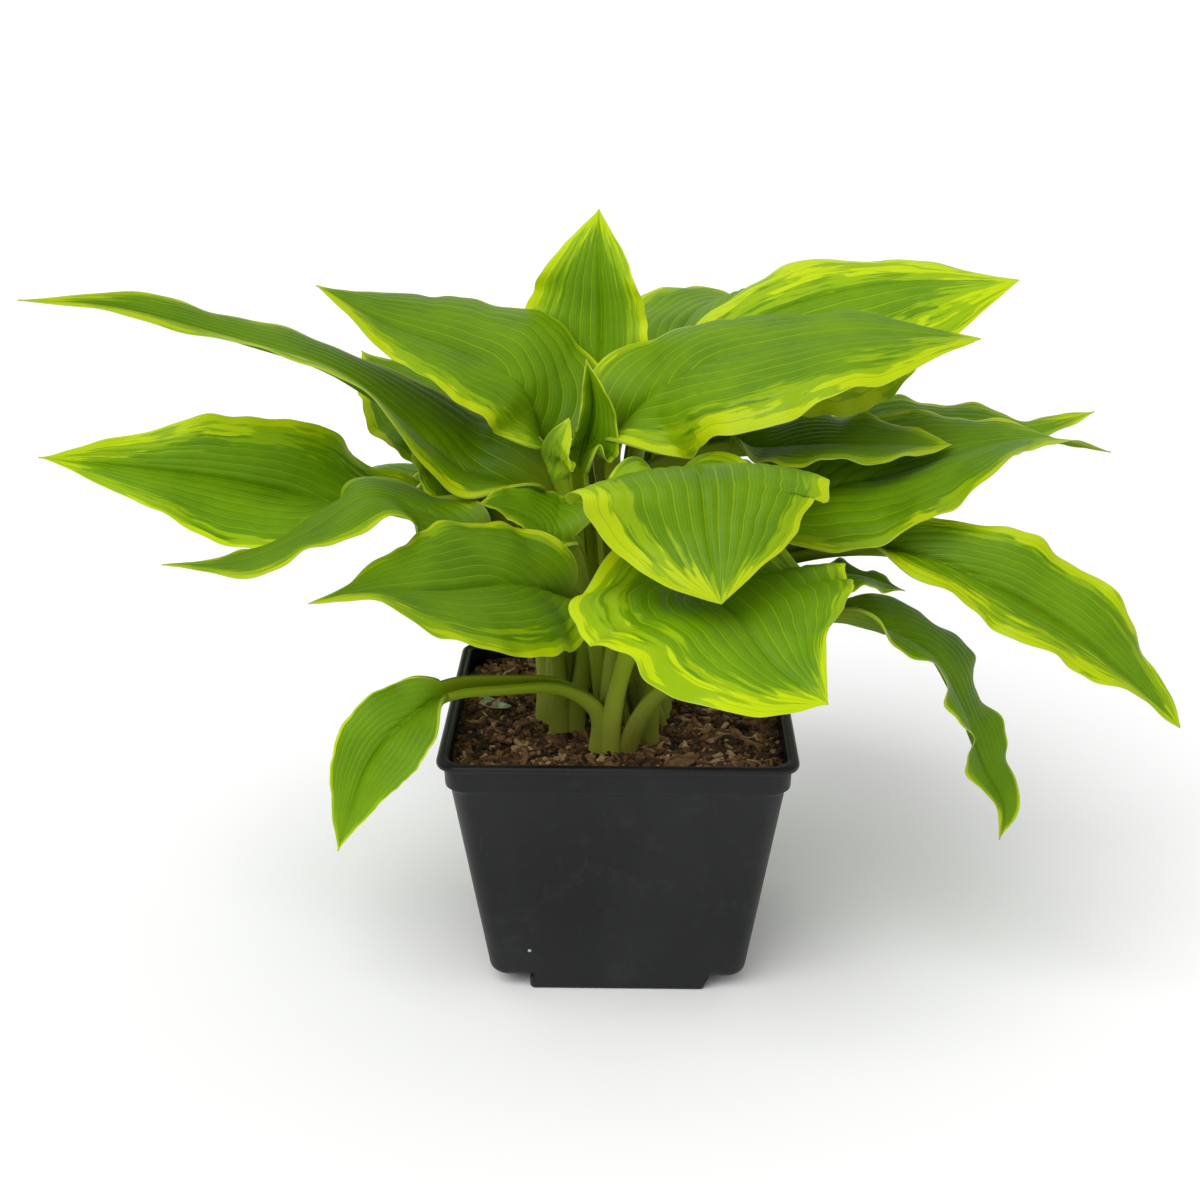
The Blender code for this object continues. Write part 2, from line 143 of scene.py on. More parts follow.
pot = draw_up(
    "nursery_pot",
    [
        (base_half - 1.4, 0.0), (base_half - 0.5, 0.3), (wall_half(1.2), 1.2), (wall_half(6), 6),
        (wall_half(30), 30), (wall_half(60), 60), (wall_half(under_collar - 2), under_collar - 2),
        (wall_half(under_collar - 0.6) + 0.7, under_collar - 0.6),
        (rim_half - lip_depth + 0.2, under_collar + 0.6), (rim_half - lip_depth + 0.4, under_collar + 1.4),
        (rim_half - lip_depth + 0.7, under_lip - 1.2), (rim_half - lip_depth + 1.1, under_lip - 0.5),
        (rim_half - 1.0, under_lip - 0.1), (rim_half - 0.35, under_lip + 0.4), (rim_half, under_lip + 1.3),
        (rim_half, under_lip + 2.2), (rim_half - 0.3, under_lip + 2.9), (rim_half - 0.9, under_lip + 3.4),
        (rim_half - 1.7, pot_height), (rim_half - 2.6, pot_height), (rim_half - 3.4, pot_height - 0.3),
        (rim_half - 3.9, pot_height - 0.9),
    ],
    7.5,
)
raise_corners(pot, foot_half, foot_step)
ease_edges(
    pot, lambda c: c.z < foot_step + 0.1 and abs(min(abs(c.x), abs(c.y)) - foot_half) < 0.2, foot_round, 4
)
ease_edges(
    pot, lambda c: abs(c.z - foot_step) < 0.1 and max(abs(c.x), abs(c.y)) > foot_half + 3.0, corner_round, 6
)
room = draw_up(
    "room",
    [
        (wall_half(pot_wall) - pot_wall - 1.0, pot_wall),
        (wall_half(pot_wall + 1) - pot_wall, pot_wall + 1),
        (wall_half(under_collar - 3) - pot_wall, under_collar - 3),
        (rim_half - lip_depth - 1.3, under_collar), (rim_half - lip_depth - 0.9, pot_height + 4),
    ],
    6.5,
)
raise_corners(room, foot_half - pot_wall, foot_step + pot_wall)
cut_away(pot, room)
hole_at = (foot_half + wall_half(foot_step)) / 2 - 0.8
for sx in (-1, 1):
    for sy in (-1, 1):
        bpy.ops.mesh.primitive_cylinder_add(
            vertices=32, radius=drain_radius * MM, depth=12 * MM,
            location=(sx * hole_at * MM, sy * hole_at * MM, foot_step * MM),
        )
        cut_away(pot, bpy.context.object)
bpy.ops.object.select_all(action="DESELECT")
pot.select_set(True)
bpy.context.view_layer.objects.active = pot
bpy.ops.object.shade_smooth_by_angle(angle=math.radians(32))


def new_material(name, roughness):
    """An empty Principled material, with what adds nodes to it and joins them."""
    made = bpy.data.materials.new(name)
    made.use_nodes = True
    tree = made.node_tree
    shader = tree.nodes["Principled BSDF"]
    shader.inputs["Roughness"].default_value = roughness
    return made, tree, shader


def put(tree, kind, values=None, **settings):
    """A node with its settings, its inputs set to plain values or joined to other sockets."""
    node = tree.nodes.new(kind)
    for key, value in settings.items():
        setattr(node, key, value)
    for key, value in (values or {}).items():
        socket = node.inputs[key]
        if isinstance(value, bpy.types.NodeSocket):
            tree.links.new(value, socket)
        else:
            socket.default_value = value
    return node


def fade(tree, value, start, end, low=0.0, high=1.0):
    """A smooth step of a value from low at start to high at end."""
    node = put(
        tree, "ShaderNodeMapRange",
        {"Value": value, "From Min": start, "From Max": end, "To Min": low, "To Max": high},
        interpolation_type="SMOOTHSTEP",
    )
    return node.outputs["Result"]


def sums(tree, operation, first, second):
    return put(tree, "ShaderNodeMath", {0: first, 1: second}, operation=operation).outputs[0]


def blend_colours(tree, share, first, second, mode="MIX"):
    """One colour over another by a share."""
    node = tree.nodes.new("ShaderNodeMix")
    node.data_type = "RGBA"
    node.blend_type = mode
    for socket, value in ((node.inputs[0], share), (node.inputs[6], first), (node.inputs[7], second)):
        if isinstance(value, bpy.types.NodeSocket):
            tree.links.new(value, socket)
        else:
            socket.default_value = value if isinstance(value, float) else (*value, 1.0)
    return node.outputs[2]


def cloud(tree, vector, scale, detail=4.0, rough=0.55):
    node = put(
        tree, "ShaderNodeTexNoise",
        {"Vector": vector, "Scale": scale, "Detail": detail, "Roughness": rough},
    )
    return node.outputs["Fac"]


plastic, tree, shader = new_material("black polypropylene", 0.5)
place = put(tree, "ShaderNodeTexCoord").outputs["Object"]
drawn = put(tree, "ShaderNodeMapping", {"Vector": place, "Scale": (1.0, 1.0, 0.35)}).outputs[0]
smear = fade(tree, cloud(tree, drawn, 15.0, 4.0, 0.55), 0.40, 0.66)
dust = fade(tree, cloud(tree, place, 60.0, 6.0, 0.7), 0.5, 0.8)
height = put(tree, "ShaderNodeSeparateXYZ", {"Vector": place}).outputs["Z"]
low_down = fade(tree, height, 0.045, 0.0)
film = sums(tree, "MULTIPLY", sums(tree, "ADD", smear, low_down), 0.5)
black = blend_colours(tree, film, (0.0030, 0.0034, 0.0042), (0.0135, 0.0145, 0.0145))
black = blend_colours(tree, sums(tree, "MULTIPLY", dust, 0.30), black, (0.034, 0.036, 0.036))
# one pale fleck is stuck low on the front wall
fleck_place = (-0.0378, -0.0572, 0.0203)
fleck_at = put(tree, "ShaderNodeVectorMath", {0: place, 1: fleck_place}, operation="DISTANCE")
fleck = fade(tree, fleck_at.outputs["Value"], 0.0010, 0.0004)
fine_scratch = put(
    tree, "ShaderNodeMapping",
    {"Vector": place, "Rotation": (0.3, 0.5, 0.9), "Scale": (300.0, 300.0, 14.0)},
).outputs[0]
scratches = fade(tree, cloud(tree, fine_scratch, 1.0, 2.0, 0.5), 0.69, 0.74)
black = blend_colours(tree, sums(tree, "MULTIPLY", scratches, 0.10), black, (0.045, 0.046, 0.046))
black = blend_colours(tree, fleck, black, (0.45, 0.45, 0.42))
tree.links.new(black, shader.inputs["Base Color"])
tree.links.new(fade(tree, film, 0.0, 1.0, 0.42, 0.58), shader.inputs["Roughness"])
shader.inputs["Specular IOR Level"].default_value = 0.26
pits = cloud(tree, place, 1600.0, 2.0)
grain = sums(tree, "ADD", pits, sums(tree, "MULTIPLY", cloud(tree, drawn, 30.0, 3.0), 6.0))
bump = put(tree, "ShaderNodeBump", {"Strength": 0.35, "Distance": 0.0002, "Height": grain})
tree.links.new(bump.outputs[0], shader.inputs["Normal"])
pot.data.materials.clear()
pot.data.materials.append(plastic)
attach(pot, "root")
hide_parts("pot")


# --- Potting mix
# Composted pine bark with some peat, pressed down by hand to a finger's width below the rim, heaped a
# little round the stalks and banked up at the left and the back. The root ball keeps its CAD solid.
# Loose chips, fibres and crumbs lie on it, with one long flake near the front and a dried scrap of leaf.

mix_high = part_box("potting_mix")[1]
mix_half = mix_high.x / MM
mix_top = mix_high.z / MM
root_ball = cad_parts["potting_mix"]
draw = np.random.default_rng(7)
noise.seed_set(7)


def mix_height(x, y):
    """Height of the mix in mm, from a mound, banks at the walls, low lumps and coarse crumbs."""
    mound = 1.6 * math.exp(-(x * x + y * y) / 1800.0)
    banked = 2.0 * (max(abs(x), abs(y)) / mix_half) ** 6 + 3.5 * max(max(-x, y) / mix_half, 0.0) ** 3
    lumps = 1.5 * noise.noise(Vector((x / 22.0, y / 22.0, 3.0)))
    coarse = 0.9 * noise.noise(Vector((x / 5.0, y / 5.0, 7.0)))
    fine = 0.7 * noise.noise(Vector((x / 1.9, y / 1.9, 9.0)))
    return mix_top - 1.0 + mound + banked + lumps + (coarse + fine)


bpy.ops.object.select_all(action="DESELECT")
bpy.ops.mesh.primitive_grid_add(x_subdivisions=150, y_subdivisions=150, size=2)
crumbs = bpy.context.object
crumbs.name = "mix_surface"
corner_pull = 0.13
for v in crumbs.data.vertices:
    x, y = v.co.x, v.co.y
    # the grid's corners come in to follow the pot's round ones
    inward = 1.0 - corner_pull * (x * x * y * y) ** 4
    x, y = x * inward * (mix_half - 0.2), y * inward * (mix_half - 0.2)
    v.co = Vector((x, y, mix_height(x, y))) * MM
bpy.ops.object.mode_set(mode="EDIT")
bpy.ops.mesh.select_all(action="SELECT")
bpy.ops.mesh.region_to_loop()
bpy.ops.mesh.extrude_edges_move(TRANSFORM_OT_translate={"value": (0, 0, -6 * MM)})
bpy.ops.transform.resize(value=(0.93, 0.93, 0), center_override=(0, 0, (mix_top - 8) * MM))
bpy.ops.mesh.edge_face_add()
bpy.ops.mesh.select_all(action="SELECT")
bpy.ops.mesh.normals_make_consistent(inside=False)
bpy.ops.object.mode_set(mode="OBJECT")
bpy.ops.object.shade_smooth()


def chip_blank(kind):
    """One chip 1 mm long, as its corners and faces: a bark flake, a split fibre or a crumb."""
    bpy.ops.object.select_all(action="DESELECT")
    if kind == "crumb":
        bpy.ops.mesh.primitive_ico_sphere_add(subdivisions=1, radius=0.5)
    else:
        bpy.ops.mesh.primitive_cube_add(size=1)
    blank = bpy.context.object
    if kind != "crumb":
        bpy.ops.object.mode_set(mode="EDIT")
        bpy.ops.mesh.bevel(offset=0.16, segments=1, affect="EDGES")
        bpy.ops.mesh.bisect(plane_co=(0, 0, 0), plane_no=(1, 0, 0))
        bpy.ops.object.mode_set(mode="OBJECT")
    for v in blank.data.vertices:
        wander = noise.noise_vector(v.co * 2.3 + Vector((len(kind), 0, 5)))
        v.co += wander * 0.16
        if kind == "flake":
            v.co.z = v.co.z * 0.30 + 0.22 * v.co.x * v.co.x
            v.co.y *= 0.62 - 0.22 * v.co.x
        if kind == "fibre":
            v.co.z = v.co.z * 0.16 + 0.10 * math.sin(3 * v.co.x)
            v.co.y *= 0.20
    corners = np.array([v.co[:] for v in blank.data.vertices])
    faces = [tuple(f.vertices) for f in blank.data.polygons]
    bpy.data.objects.remove(blank, do_unlink=True)
    return corners, faces


def scatter(name, kind, count, shortest, longest, tones, lift, tilt):
    """Copies of one chip, strewn over the mix with their own size, turn and tone."""
    corners, faces = chip_blank(kind)
    points, every_face, shade = [], [], []
    for number in range(count):
        size = shortest + (longest - shortest) * draw.random() ** 2.2
        while True:
            x, y = draw.uniform(-mix_half, mix_half, 2)
            if (abs(x / mix_half) ** 9 + abs(y / mix_half) ** 9) < 0.90 - size * 0.02:
                break
        a, b, c = draw.uniform(0, 2 * math.pi), draw.normal(0, tilt), draw.normal(0, tilt)
        turn = np.array([[math.cos(a), -math.sin(a), 0], [math.sin(a), math.cos(a), 0], [0, 0, 1]])
        tip = np.array([[1, 0, 0], [0, math.cos(b), -math.sin(b)], [0, math.sin(b), math.cos(b)]])
        roll = np.array([[math.cos(c), 0, math.sin(c)], [0, 1, 0], [-math.sin(c), 0, math.cos(c)]])
        stretch = np.array([1, draw.uniform(0.7, 1.5), draw.uniform(0.7, 1.6)]) * size
        at = np.array([x, y, mix_height(x, y) + lift * size])
        points.append((corners * stretch) @ (turn @ tip @ roll).T + at)
        first = number * len(corners)
        every_face += [tuple(first + k for k in f) for f in faces]
        shade += [float(np.clip(draw.normal(*tones), 0, 1))] * len(corners)
    mesh = bpy.data.meshes.new(name)
    mesh.from_pydata((np.vstack(points) * MM).tolist(), [], every_face)
    mesh.attributes.new("tone", "FLOAT", "POINT").data.foreach_set("value", shade)
    made = bpy.data.objects.new(name, mesh)
    bpy.context.collection.objects.link(made)
    return made


chips = scatter("bark_chips", "flake", 3000, 1.2, 6.0, (0.46, 0.26), 0.05, 0.45)
fibres = scatter("bark_fibres", "fibre", 2600, 2.0, 10.0, (0.60, 0.26), 0.07, 0.35)
grains = scatter("bark_crumbs", "crumb", 5200, 0.5, 1.8, (0.42, 0.24), 0.15, 1.0)

# the long flake is one slab of bark, split along its grain at both ends
flake_from, flake_to, flake_half = (17.0, -60.0), (33.0, -39.0), 4.2
bpy.ops.object.select_all(action="DESELECT")
bpy.ops.mesh.primitive_grid_add(x_subdivisions=40, y_subdivisions=16, size=2)
flake = bpy.context.object
flake.name = "long_bark_flake"
start, reach = Vector(flake_from), Vector(flake_to) - Vector(flake_from)
across = Vector((-reach.y, reach.x)).normalized()
for v in flake.data.vertices:
    run, side = (v.co.x + 1) / 2, v.co.y
    torn = 0.10 * noise.noise(Vector((side * 4.0, 3.0 * v.co.x, 1.0)))
    taper = 0.55 + 0.45 * math.sin(math.pi * min(max(run, 0.0), 1.0)) ** 0.5
    flat = start + reach * (run + torn) + across * side * flake_half * taper
    ridges = 0.5 * noise.noise(Vector((side * 3.5, run * 1.2, 8.0)))
    v.co = Vector((flat.x, flat.y, mix_height(flat.x, flat.y) * 0.4 + (mix_top + 4.5) * 0.6 + ridges)) * MM
slab = flake.modifiers.new("slab", "SOLIDIFY")
slab.thickness = 1.1 * MM
slab.offset = -1
bpy.ops.object.modifier_apply(modifier=slab.name)
flake.data.attributes.new("tone", "FLOAT", "POINT").data.foreach_set(
    "value", [0.66 + 0.3 * noise.noise(Vector((v.co.x, v.co.y, 0)) * 220) for v in flake.data.vertices]
)
bpy.ops.object.shade_smooth_by_angle(angle=math.radians(40))

# the dried leaf scrap is thin, grey-green and curled up at its ends
scrap_at, scrap_turn = Vector((-56.0, 12.0)), math.radians(-55)
bpy.ops.object.select_all(action="DESELECT")
bpy.ops.mesh.primitive_grid_add(x_subdivisions=24, y_subdivisions=10, size=2)
scrap = bpy.context.object
scrap.name = "dried_leaf_scrap"
for v in scrap.data.vertices:
    run, side = v.co.x, v.co.y
    wide = 4.0 * (1 - run * run) ** 0.6 + 0.15
    x, y = run * 10.0, side * wide + 1.2 * math.sin(2.2 * run)
    turned = scrap_at + Vector((x * math.cos(scrap_turn) - y * math.sin(scrap_turn),
                                x * math.sin(scrap_turn) + y * math.cos(scrap_turn)))
    lift = mix_height(scrap_at.x, scrap_at.y) + 2.4 + 2.2 * run * run + 0.7 * side * side
    v.co = Vector((turned.x, turned.y, lift)) * MM
thin = scrap.modifiers.new("thin", "SOLIDIFY")
thin.thickness = 0.3 * MM
bpy.ops.object.modifier_apply(modifier=thin.name)
bpy.ops.object.shade_smooth()


def stepped(tree, value, stops):
    """A colour that runs through stops with the value."""
    ramp = put(tree, "ShaderNodeValToRGB", {"Fac": value})
    marks = ramp.color_ramp.elements
    for at, colour in stops[1:-1]:
        marks.new(at).color = (*colour, 1.0)
    marks[0].color = (*stops[0][1], 1.0)
    marks[-1].color = (*stops[-1][1], 1.0)
    return ramp.outputs[0]


bark, tree, shader = new_material("damp pine bark", 0.86)
place = put(tree, "ShaderNodeTexCoord").outputs["Object"]
tone = put(tree, "ShaderNodeAttribute", attribute_name="tone").outputs["Fac"]
mottle = cloud(tree, place, 420.0, 5.0, 0.65)
wood_shade = sums(tree, "ADD", tone, sums(tree, "MULTIPLY", sums(tree, "SUBTRACT", mottle, 0.5), 0.5))
colour = stepped(tree, wood_shade, ((0.0, (0.012, 0.006, 0.003)), (0.30, (0.060, 0.026, 0.010)),
                                    (0.55, (0.150, 0.068, 0.026)), (0.78, (0.300, 0.150, 0.062)),
                                    (1.0, (0.55, 0.37, 0.20))))
tree.links.new(colour, shader.inputs["Base Color"])
tree.links.new(fade(tree, mottle, 0.3, 0.7, 0.70, 0.95), shader.inputs["Roughness"])
wood_grain = put(tree, "ShaderNodeMapping", {"Vector": place, "Scale": (1.0, 3.0, 1.0)}).outputs[0]
fibre_grain = cloud(tree, wood_grain, 900.0)
bump = put(tree, "ShaderNodeBump", {"Strength": 0.7, "Distance": 0.0003, "Height": fibre_grain})
tree.links.new(bump.outputs[0], shader.inputs["Normal"])

peat, tree, shader = new_material("peat and bark crumbs", 0.93)
place = put(tree, "ShaderNodeTexCoord").outputs["Object"]
specks = cloud(tree, place, 700.0, 6.0, 0.75)
patches = cloud(tree, place, 90.0, 3.0)
soil_shade = sums(tree, "MULTIPLY", sums(tree, "ADD", specks, patches), 0.5)
colour = stepped(tree, soil_shade, ((0.0, (0.006, 0.003, 0.002)), (0.42, (0.034, 0.015, 0.007)),
                                    (0.55, (0.085, 0.040, 0.016)), (0.64, (0.160, 0.082, 0.036)),
                                    (1.0, (0.34, 0.20, 0.10))))
tree.links.new(colour, shader.inputs["Base Color"])
bump = put(tree, "ShaderNodeBump", {"Strength": 0.9, "Distance": 0.0006, "Height": specks})
tree.links.new(bump.outputs[0], shader.inputs["Normal"])
root_ball.data.materials.clear()
root_ball.data.materials.append(peat)

dried, tree, shader = new_material("dried leaf", 0.8)
place = put(tree, "ShaderNodeTexCoord").outputs["Object"]
blotch = fade(tree, cloud(tree, place, 260.0, 3.0), 0.4, 0.65)
colour = blend_colours(tree, blotch, (0.28, 0.34, 0.22), (0.55, 0.60, 0.46))
tree.links.new(colour, shader.inputs["Base Color"])
shader.inputs["Specular IOR Level"].default_value = 0.2

for piece, look in (
    (crumbs, peat), (chips, bark), (fibres, bark), (grains, bark), (flake, bark), (scrap, dried)
):
    piece.data.materials.clear()
    piece.data.materials.append(look)
    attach(piece, "root")


# --- Leaves of the front shoot
# Each leaf grew in one piece: a channelled stalk whose pale, winged foot clasps the shoot, opening into a
# heart-shaped blade. Eight pairs of veins, or five in a young leaf, are sunk into its upper skin.
# The thin blade is satin green with a light margin that runs into the green in streaks between the veins.

stalk_half = 4.1
stalk_foot = 6.4
stalk_thick = 3.0
blade_thick = 0.5
stalk_rows = 34
blade_rows = 112
half_columns = 42
stalk_above = 0.1
stalk_fold = 50
stalk_curl = -25
blade_opens = 0.18
blade_thins = 0.25
least_half = 0.25
curve_steps = 24
gathered_rows = 15.0
shoots = ((-6.0, -34.0), (-29.0, -6.0), (12.0, 8.0))
most_pull = 7.5
wing_edge = 1.4


def smooth(x):
    x = np.clip(x, 0, 1)
    return x * x * (3 - 2 * x)


def curve_through(points, steps=curve_steps):
    """A centripetal Catmull-Rom curve through the points."""
    points = np.asarray(points, float)
    points = np.vstack([2 * points[0] - points[1], points, 2 * points[-1] - points[-2]])
    out = []
    for i in range(1, len(points) - 2):
        a, b, c, d = points[i - 1 : i + 3]
        t1 = np.linalg.norm(b - a) ** 0.5
        t2 = t1 + np.linalg.norm(c - b) ** 0.5
        t3 = t2 + np.linalg.norm(d - c) ** 0.5
        for t in np.linspace(t1, t2, steps, endpoint=False):
            ab = (t1 - t) / t1 * a + t / t1 * b
            bc = (t2 - t) / (t2 - t1) * b + (t - t1) / (t2 - t1) * c
            cd = (t3 - t) / (t3 - t2) * c + (t - t2) / (t3 - t2) * d
            abc = (t2 - t) / t2 * ab + t / t2 * bc
            bcd = (t3 - t) / (t3 - t1) * bc + (t - t1) / (t3 - t1) * cd
            out.append((t2 - t) / (t2 - t1) * abc + (t - t1) / (t2 - t1) * bcd)
    out.append(points[-2])
    return np.array(out)


def evenly(curve, count):
    """The curve again as count points at equal steps of length, and its length."""
    length = np.concatenate([[0], np.cumsum(np.linalg.norm(np.diff(curve, axis=0), axis=1))])
    at = np.linspace(0, length[-1], count)
    return np.stack([np.interp(at, length, curve[:, k]) for k in range(3)], -1), length[-1]


def gathered(foot):
    """How far a stalk's foot leans in to clasp the middle of its shoot."""
    pulls = [np.array(middle) - np.array(foot[:2]) for middle in shoots]
    pull = min(pulls, key=np.linalg.norm)
    far = np.linalg.norm(pull)
    return pull * min(0.55, most_pull / far)


def leaf_skins(stalk, blade, width, fold, curl, roll, full, wave, facing, wing, band, veins, seed, columns):
    """Both skins of a leaf on a grid, and what its colour follows: veins, run, rim and margin."""
    route = curve_through(stalk + blade)
    joint = len(stalk) * curve_steps
    stalk_line, stalk_length = evenly(route[: joint + 1], stalk_rows + 1)
    blade_line, blade_length = evenly(route[joint:], blade_rows)
    line = np.vstack([stalk_line[:-1], blade_line])
    let_go = smooth(np.arange(stalk_rows)[:, None] / gathered_rows)
    line[:stalk_rows, :2] += gathered(stalk[0])[None] * (1 - let_go)
    t = np.concatenate([np.zeros(stalk_rows), np.linspace(0, 1, blade_rows)])
    s = np.concatenate([np.linspace(0, 1, stalk_rows + 1)[:-1], np.ones(blade_rows)])
    run = s * stalk_length + t * blade_length
    along = np.gradient(line, run, axis=0)
    along /= np.linalg.norm(along, axis=1)[:, None]
    away = np.asarray(blade[-1], float) - np.asarray(stalk[0], float)
    if facing is not None:
        away = np.array([math.cos(math.radians(facing)), math.sin(math.radians(facing)), 0])
    level = np.array([-away[1], away[0], 0.0])
    level /= np.linalg.norm(level)
    side = level - (along @ level)[:, None] * along
    side /= np.linalg.norm(side, axis=1)[:, None]
    up = np.cross(along, side)
    start, middle, end = roll
    turn = np.where(
        t < 0.5,
        start + (middle - start) * smooth(t / 0.5),
        middle + (end - middle) * smooth((t - 0.5) / 0.5),
    )
    turn = np.radians(np.where(t > 0, turn, start * smooth(s)))[:, None]
    side, up = side * np.cos(turn) + up * np.sin(turn), up * np.cos(turn) - side * np.sin(turn)

    belly, taper = full
    peak = belly / (belly + taper)
    outline = (t / peak) ** belly * ((1 - t) / (1 - peak)) ** taper
    foot = stalk_half + (stalk_foot - stalk_half) * (1 - smooth(s / 0.42))
    foot = foot + (wing + wing_edge - stalk_half) * smooth((s - 0.35) / 0.65)
    open_up = smooth(t / blade_opens)
    lift = np.radians(stalk_fold + (fold - stalk_fold) * open_up)
    bend = np.radians(stalk_curl + (curl - stalk_curl) * open_up)
    height, waves, phase = wave
    fade_out = np.sin(math.pi * np.clip(t, 0, 1)) ** 0.7

    v = np.linspace(-1, 1, columns)
    u = np.abs(v)
    sign = np.where(v < 0, -1.0, 1.0)
    wide = np.where(v > 0, width[0], width[1])
    # the margin wanders a little, as a leaf's does
    ragged = 1 + 0.018 * np.sin(2 * math.pi * (5.3 * t[:, None] + seed * 0.37) + sign * 1.3)
    ragged += 0.010 * np.sin(2 * math.pi * (11.7 * t[:, None] + seed * 0.73) - sign * 0.8)
    half = foot[:, None] * (1 - t[:, None]) + wide * outline[:, None] * ragged
    half = np.maximum(half, least_half)
    q = (np.arange(12) + 0.5) / 12 * u[:, None]
    slope = lift[:, None, None] - bend[:, None, None] * q[None] ** 1.3
    out = half * np.cos(slope).mean(2) * u
    rise = half * np.sin(slope).mean(2) * u
    shift = np.where(v > 0, phase, phase + 2.1)
    swing = np.sin(2 * math.pi * waves * t[:, None] + shift)
    ripple = np.sin(2 * math.pi * waves * 2.6 * t[:, None] + shift * 1.7 + seed)
    rise = rise + (height * u**2.5 * swing + 0.22 * height * u**5 * ripple) * fade_out[:, None]
    sheet = line[:, None] + side[:, None] * (sign * out)[..., None] + up[:, None] * rise[..., None]

    def normals(grid):
        n = np.cross(np.gradient(grid, axis=0), np.gradient(grid, axis=1))
        return n / np.maximum(np.linalg.norm(n, axis=2), 1e-9)[..., None]

    # veins leave the midrib one after another low in the blade, and arch to the tip
    merged = 0.5 * (1 - smooth(t / 0.42))[:, None]
    vein = veins * (u + merged * (1 - u))
    spacing = half / veins
    quilt = np.abs(np.sin(math.pi * vein)) ** 0.75 - 0.62
    relief = np.minimum(0.15 * spacing, 0.85) * quilt * (1 - u**6)
    relief = relief * (0.25 + 0.75 * smooth(t / 0.12))[:, None]
    x = u * half
    gutter = np.minimum(half * 0.08, 1.1) * np.exp(-((x / 1.5) ** 2)) * (1 - t[:, None]) ** 0.5
    relief = relief - gutter * smooth(t / 0.1)[:, None]
    sheet = sheet + normals(sheet) * relief[..., None]
    normal = normals(sheet)
    opened = smooth(t / blade_thins)
    thick = (stalk_thick + (blade_thick - stalk_thick) * opened)[:, None]
    thin_edge = 1 - 0.55 * u**4
    thick = thick * thin_edge
    above = thick * (stalk_above + (0.5 - stalk_above) * opened)[:, None]
    upper = sheet + normal * above[..., None]
    lower = sheet - normal * (thick - above)[..., None]
    rim = (1 - u) * half
    margin = rim / np.where(v > 0, band[0], band[1])
    margin = np.where(t[:, None] > 0, margin, 9.0)
    margin = margin + 3.0 * (1 - smooth(t / 0.10))[:, None]
    flat = np.stack([np.broadcast_to(run[:, None], rim.shape), v * half], -1) / 100.0
    stem = np.broadcast_to((s + t)[:, None], rim.shape)
    return upper, lower, flat, {"vein": vein, "rim": rim, "margin": margin, "run": stem}


def grow_leaf(node, stalk, blade, width, fold=18, curl=30, roll=(0, 0, 0), full=(0.8, 1.15),
              wave=(2.0, 3.5, 0.0), facing=None, wing=5.0, band=(5, 5), tone=1.0, veins=8):
    """One leaf from a flat blank, which is thickened before both skins are laid on the leaf's form."""
    seed = len(grown)
    bpy.ops.object.select_all(action="DESELECT")
    bpy.ops.mesh.primitive_grid_add(
        x_subdivisions=stalk_rows + blade_rows - 1, y_subdivisions=2 * half_columns, size=2
    )
    made = bpy.context.object
    made.name = node.replace("leaf_", "") + "_leaf"
    mesh = made.data
    co = np.empty(len(mesh.vertices) * 3)
    mesh.vertices.foreach_get("co", co)
    co = co.reshape(-1, 3)
    rows = len(np.unique(co[:, 0].round(6)))
    columns = len(np.unique(co[:, 1].round(6)))
    i = np.rint((co[:, 0] + 1) / 2 * (rows - 1)).astype(int)
    j = np.rint((co[:, 1] + 1) / 2 * (columns - 1)).astype(int)
    upper, lower, flat, follows = leaf_skins(
        stalk, blade, width, fold, curl, roll, full, wave, facing, wing, band, veins, seed, columns
    )
    # tone scales the colour of the whole leaf: painted light on the leaves given more than 1, painted shade
    # on those given less
    follows["tone"] = np.full(upper.shape[:2], tone)
    follows["number"] = np.full(upper.shape[:2], float(seed))
    for name, values in follows.items():
        followed = mesh.attributes.new(name, "FLOAT", "POINT")
        followed.data.foreach_set("value", values[i, j].astype(np.float32))
    corner = np.empty(len(mesh.loops), int)
    mesh.loops.foreach_get("vertex_index", corner)
    mesh.uv_layers.active.data.foreach_set("uv", flat[i, j][corner].astype(np.float32).ravel())
    mesh.materials.append(upper_skin)
    mesh.materials.append(under_skin)
    thicken = made.modifiers.new("thickness", "SOLIDIFY")
    thicken.thickness = 0.01
    thicken.offset = -1
    thicken.material_offset = 1
    bpy.ops.object.modifier_apply(modifier=thicken.name)
    skins = np.vstack([upper[i, j], lower[i, j]]) * MM
    mesh.vertices.foreach_set("co", skins.ravel())
    mesh.update()
    bpy.ops.object.shade_smooth_by_angle(angle=math.radians(60))
    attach(made, "root")
    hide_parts(node)
    grown.append(made)


grown = []


